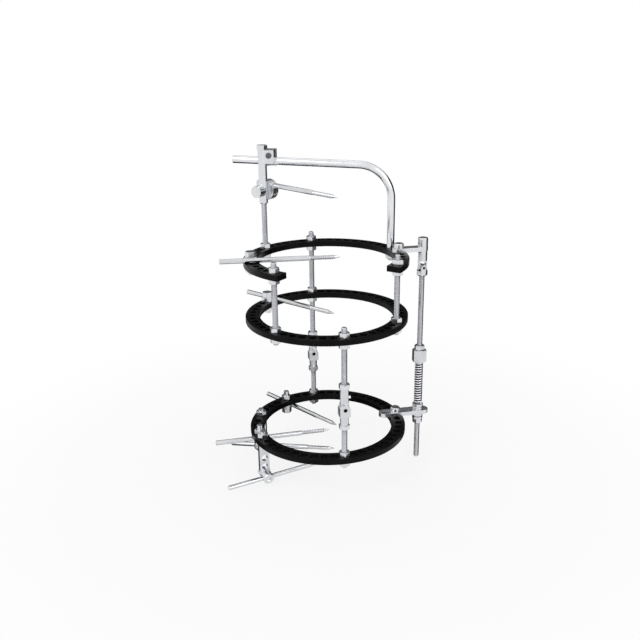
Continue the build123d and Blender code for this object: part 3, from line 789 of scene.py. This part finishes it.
class FIXATOR_OT_spring(bpy.types.Operator):
    """Coils the round wire of the distractor's spring"""

    bl_idname = "fixator.spring"
    bl_label = "Spring"

    def execute(self, context):
        spring = context.scene.fixator_spring
        low, high = (Vector(corner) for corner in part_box("distractor_spring"))
        rod_low, rod_high = (Vector(corner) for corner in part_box("distractor_rod"))
        centre = (rod_low + rod_high) / 2
        radius = high.x - centre.x - spring.wire / 2
        rise = high.z - low.z - spring.wire
        steps = COIL_STEPS * spring.turns
        bm = bmesh.new()
        wire = bmesh.ops.create_circle(
            bm, cap_ends=True, segments=WIRE_SIDES, radius=spring.wire / 2)["verts"]
        stand = Matrix.Translation((radius, 0, spring.wire / 2)) @ Matrix.Rotation(math.pi / 2, 4, "X")
        bmesh.ops.transform(bm, matrix=stand, verts=wire)
        bmesh.ops.spin(bm, geom=bm.verts[:] + bm.edges[:] + bm.faces[:], cent=(0, 0, 0), axis=(0, 0, 1),
                       dvec=(0, 0, rise / steps), angle=spring.turns * 2 * math.pi, steps=steps,
                       use_duplicate=False)
        bmesh.ops.holes_fill(bm, edges=[edge for edge in bm.edges if edge.is_boundary], sides=0)
        bmesh.ops.translate(bm, vec=(centre.x, centre.y, low.z), verts=bm.verts)
        add_piece("distractor_spring_coiled", bm, "distractor_spring")
        return {"FINISHED"}


class FIXATOR_OT_hinges(bpy.types.Operator):
    """Breaks the edges of the two hinges, their pins and set screws"""

    bl_idname = "fixator.hinges"
    bl_label = "Hinges"

    def execute(self, context):
        for node in HINGE_NODES:
            soften(node, context.scene.fixator_edges.machined)
        return {"FINISHED"}


class FIXATOR_OT_pin_clamps(bpy.types.Operator):
    """Breaks the edges of the pin clamps and of the hanging posts"""

    bl_idname = "fixator.pin_clamps"
    bl_label = "Pin clamps"

    def execute(self, context):
        for node in CLAMP_NODES + PIN_BOLT_NODES:
            soften(node, context.scene.fixator_edges.machined)
        return {"FINISHED"}


class FIXATOR_OT_post(bpy.types.Operator):
    """Breaks the edges of the post, its wheel clamp and bar clamp"""

    bl_idname = "fixator.post"
    bl_label = "Post"

    def execute(self, context):
        for node in POST_NODES:
            soften(node, context.scene.fixator_edges.machined)
        return {"FINISHED"}


class FIXATOR_OT_bar(bpy.types.Operator):
    """Draws the bent bar as a round tube along its leg, bend and arm, with its threaded stud"""

    bl_idname = "fixator.bar"
    bl_label = "Bent bar"

    def execute(self, context):
        bar = context.scene.fixator_bar
        points = np.array([vert.co[:] for vert in NODES["bent_bar"].data.vertices])
        foot_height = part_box("top_ring")[1][2]
        stud_end = points[:, 2].min()
        stud = points[points[:, 2] < stud_end + SAME_HEIGHT]
        leg = points[np.abs(points[:, 2] - foot_height) < SAME_HEIGHT]
        middle = (leg.min(axis=0) + leg.max(axis=0)) / 2
        radius = np.linalg.norm(leg[:, :2] - middle[:2], axis=1).max()
        stud_radius = np.linalg.norm(stud[:, :2] - middle[:2], axis=1).max()
        foot = Vector((middle[0], middle[1], foot_height))
        free_end = Vector(MOUNTS["bar_free_end"]["pos_m"])
        arm = Vector(MOUNTS["bar_free_end"]["axis"]).normalized()
        flat = Vector((arm.x, arm.y, 0))
        corner = free_end - arm * ((free_end - foot).dot(flat.normalized()) / flat.length)
        turn = UP.angle(arm)
        tangent = bar.bend * math.tan(turn / 2)
        bend_start = corner.z - tangent
        arm_length = (free_end - corner).length - tangent
        across = UP.cross(arm).normalized()

        bm = bmesh.new()
        verts = bmesh.ops.create_circle(bm, cap_ends=True, segments=BAR_SIDES, radius=radius)["verts"]
        bmesh.ops.translate(bm, vec=foot, verts=verts)
        end = self.draw_out(bm, bm.faces[:], UP * (bend_start - foot.z))
        centre = Vector((foot.x, foot.y, bend_start)) + flat.normalized() * bar.bend
        geometry = end + list({part for face in end for part in face.edges[:] + face.verts[:]})
        swept = bmesh.ops.spin(bm, geom=geometry, cent=centre, axis=across, angle=turn, steps=bar.bend_steps,
                               use_duplicate=False)["geom_last"]
        end = [part for part in swept if isinstance(part, bmesh.types.BMFace)]
        end = self.draw_out(bm, end, arm * (arm_length - bar.chamfer))
        end = self.draw_out(bm, end, arm * bar.chamfer)
        bmesh.ops.scale(bm, vec=Vector((1, 1, 1)) * ((radius - bar.chamfer) / radius),
                        space=Matrix.Translation(-free_end), verts=end[0].verts[:])
        bmesh.ops.holes_fill(bm, edges=[edge for edge in bm.edges if edge.is_boundary], sides=0)
        add_threaded_bar(bm, Matrix.Translation((foot.x, foot.y, stud_end)), foot.z - stud_end, stud_radius,
                         context.scene.fixator_threads)
        add_piece("bent_bar_smooth", bm, "bent_bar")
        return {"FINISHED"}

    @staticmethod
    def draw_out(bm, faces, way):
        """Draws an end face out along a way and gives the new end face."""
        made = bmesh.ops.extrude_face_region(bm, geom=faces)["geom"]
        bmesh.ops.delete(bm, geom=faces, context="FACES_ONLY")
        corners = [part for part in made if isinstance(part, bmesh.types.BMVert)]
        bmesh.ops.translate(bm, vec=way, verts=corners)
        return [part for part in made if isinstance(part, bmesh.types.BMFace)]


class FIXATOR_OT_distractor(bpy.types.Operator):
    """Breaks the edges of the distractor's plates, universal joint and seats"""

    bl_idname = "fixator.distractor"
    bl_label = "Distractor"

    def execute(self, context):
        for node in DISTRACTOR_NODES:
            soften(node, context.scene.fixator_edges.machined)
        return {"FINISHED"}


class FIXATOR_OT_stage(bpy.types.Operator):
    """Sets the floor, the soft lights, the white surround and the camera"""

    bl_idname = "fixator.stage"
    bl_label = "Stage"

    def execute(self, context):
        scene = context.scene
        studio = scene.fixator_studio
        self.lay_floor(scene.fixator_finish.floor_colour)
        self.light_world(scene, studio.ambient)
        for name, power, place, size in LIGHTS:
            self.hang_light(name, place, size, getattr(studio, power))
        for name, place, aim, half, grey in CARDS:
            self.stand_card(name, place, aim, half, grey)
        self.place_camera(scene, studio)
        scene.view_settings.view_transform = "Standard"
        return {"FINISHED"}

    @staticmethod
    def lay_floor(colour):
        """Pale paper that fades to the white of the surround away from the fixator."""
        bm = bmesh.new()
        bmesh.ops.create_grid(bm, x_segments=1, y_segments=1, size=FLOOR_HALF)
        bmesh.ops.translate(bm, vec=(0, 0, CAD_BOX[0][2]), verts=bm.verts)
        material, shader, mapping = new_material("floor_paper")
        paper = add_noise(material, mapping, PAPER_SCALE)
        tint(material, paper, shade(colour, FLOOR_SPECKLE), colour, shader.inputs["Base Color"])
        shader.inputs["Roughness"].default_value = DULL
        shader.inputs["Specular IOR Level"].default_value = FLOOR_SHEEN
        nodes = material.node_tree.nodes
        links = material.node_tree.links
        reach = nodes.new("ShaderNodeVectorMath")
        reach.operation = "LENGTH"
        links.new(mapping.outputs["Vector"], reach.inputs[0])
        fade = nodes.new("ShaderNodeMapRange")
        fade.interpolation_type = "SMOOTHSTEP"
        fade.inputs["From Min"].default_value, fade.inputs["From Max"].default_value = FLOOR_FADE_REACH
        fade.inputs["To Min"].default_value, fade.inputs["To Max"].default_value = FLOOR_FADE_WHITE
        links.new(reach.outputs["Value"], fade.inputs["Value"])
        seen = nodes.new("ShaderNodeMath")
        seen.operation = "MULTIPLY"
        links.new(fade.outputs["Result"], seen.inputs[0])
        links.new(background_rays(nodes, links), seen.inputs[1])
        white = nodes.new("ShaderNodeEmission")
        mix = nodes.new("ShaderNodeMixShader")
        links.new(seen.outputs[0], mix.inputs["Fac"])
        links.new(shader.outputs[0], mix.inputs[1])
        links.new(white.outputs[0], mix.inputs[2])
        output = next(node for node in nodes if node.type == "OUTPUT_MATERIAL")
        links.new(mix.outputs[0], output.inputs["Surface"])
        add_stage("floor", bm, material)

    @staticmethod
    def stand_card(name, place, aim, half, grey):
        """Dark card that only reflections see, which draws the edges of the bright steel."""
        bm = bmesh.new()
        bmesh.ops.create_grid(bm, x_segments=1, y_segments=1, size=half)
        turn = (aim - Vector(place)).to_track_quat("Z", "Y").to_matrix().to_4x4()
        bmesh.ops.transform(bm, matrix=Matrix.Translation(place) @ turn, verts=bm.verts)
        material, shader, mapping = new_material(name)
        felt = add_noise(material, mapping, FELT_SCALE)
        tint(material, felt, (grey / 2,) * 3, (grey,) * 3, shader.inputs["Base Color"])
        shader.inputs["Roughness"].default_value = DULL
        card = add_stage(name, bm, material)
        card.visible_camera = False
        card.visible_shadow = False
        card.visible_diffuse = False

    @staticmethod
    def light_world(scene, ambient):
        """Even light from all round, seen as plain white."""
        world = bpy.data.worlds.new("studio")
        scene.world = world
        world.use_nodes = True
        nodes = world.node_tree.nodes
        links = world.node_tree.links
        nodes.clear()
        output = nodes.new("ShaderNodeOutputWorld")
        mix = nodes.new("ShaderNodeMixShader")
        soft = nodes.new("ShaderNodeBackground")
        seen = nodes.new("ShaderNodeBackground")
        soft.inputs["Color"].default_value = (1, 1, 1, 1)
        soft.inputs["Strength"].default_value = ambient
        seen.inputs["Color"].default_value = (1, 1, 1, 1)
        seen.inputs["Strength"].default_value = 1.0
        links.new(background_rays(nodes, links), mix.inputs["Fac"])
        links.new(soft.outputs[0], mix.inputs[1])
        links.new(seen.outputs[0], mix.inputs[2])
        links.new(mix.outputs[0], output.inputs["Surface"])

    @staticmethod
    def hang_light(name, place, size, power):
        """Round soft light that points at the middle of the fixator."""
        lamp = bpy.data.lights.new(name, "AREA")
        lamp.shape = "DISK"
        lamp.size = size
        lamp.energy = power
        light = bpy.data.objects.new(name, lamp)
        light.location = place
        light.rotation_euler = (AIM - Vector(place)).to_track_quat("-Z", "Y").to_euler()
        bpy.context.scene.collection.objects.link(light)

    @staticmethod
    def place_camera(scene, studio):
        """Camera that looks a little down on the open side of the top ring."""
        lens = bpy.data.cameras.new("camera")
        lens.sensor_width = SENSOR_WIDTH
        lens.lens = studio.camera_lens
        lens.clip_end = SIGHT
        camera = bpy.data.objects.new("camera", lens)
        turn = Matrix.Rotation(-studio.camera_heading, 4, "Z")
        turn = turn @ Matrix.Rotation(math.pi / 2 - studio.camera_dip, 4, "X")
        turn = turn @ Matrix.Rotation(studio.camera_roll, 4, "Z")
        camera.matrix_world = Matrix.Translation(studio.camera_place) @ turn
        scene.collection.objects.link(camera)
        scene.camera = camera


class FIXATOR_PT_panel(bpy.types.Panel):
    """Lists the steps that dress the fixator"""

    bl_label = "Ring fixator"
    bl_idname = "FIXATOR_PT_panel"
    bl_space_type = "VIEW_3D"
    bl_region_type = "UI"
    bl_category = "Fixator"

    def draw(self, context):
        for step in STEPS:
            self.layout.operator(step.bl_idname)
        for group in GROUPS:
            box = self.layout.box()
            for name in GROUPS[group].__annotations__:
                box.prop(getattr(context.scene, group), name)


STEPS = (FIXATOR_OT_rings, FIXATOR_OT_threaded_rods, FIXATOR_OT_half_pins, FIXATOR_OT_nuts, FIXATOR_OT_spring,
         FIXATOR_OT_hinges, FIXATOR_OT_pin_clamps, FIXATOR_OT_post, FIXATOR_OT_bar, FIXATOR_OT_distractor,
         FIXATOR_OT_stage)
GROUPS = {"fixator_threads": FixatorThreads, "fixator_edges": FixatorEdges, "fixator_spring": FixatorSpring,
          "fixator_bar": FixatorBar, "fixator_finish": FixatorFinish, "fixator_studio": FixatorStudio}


def register():
    """Adds the groups of sizes, the steps and the panel."""
    for group in GROUPS:
        bpy.utils.register_class(GROUPS[group])
        setattr(bpy.types.Scene, group, PointerProperty(type=GROUPS[group]))
    for step in STEPS:
        bpy.utils.register_class(step)
    bpy.utils.register_class(FIXATOR_PT_panel)


def unregister():
    """Takes the panel, the steps and the groups out again."""
    bpy.utils.unregister_class(FIXATOR_PT_panel)
    for step in reversed(STEPS):
        bpy.utils.unregister_class(step)
    for group in GROUPS:
        delattr(bpy.types.Scene, group)
        bpy.utils.unregister_class(GROUPS[group])


def main():
    """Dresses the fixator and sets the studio."""
    register()
    FINISHES.update(make_finishes(bpy.context.scene.fixator_finish))
    for name, obj in NODES.items():
        obj.data.materials.clear()
        obj.data.materials.append(FINISHES[SLOT_OF[name]])
    bpy.ops.fixator.rings()
    bpy.ops.fixator.threaded_rods()
    bpy.ops.fixator.half_pins()
    bpy.ops.fixator.nuts()
    bpy.ops.fixator.spring()
    bpy.ops.fixator.hinges()
    bpy.ops.fixator.pin_clamps()
    bpy.ops.fixator.post()
    bpy.ops.fixator.bar()
    bpy.ops.fixator.distractor()
    bpy.ops.fixator.stage()


if __name__ == "__main__":
    main()
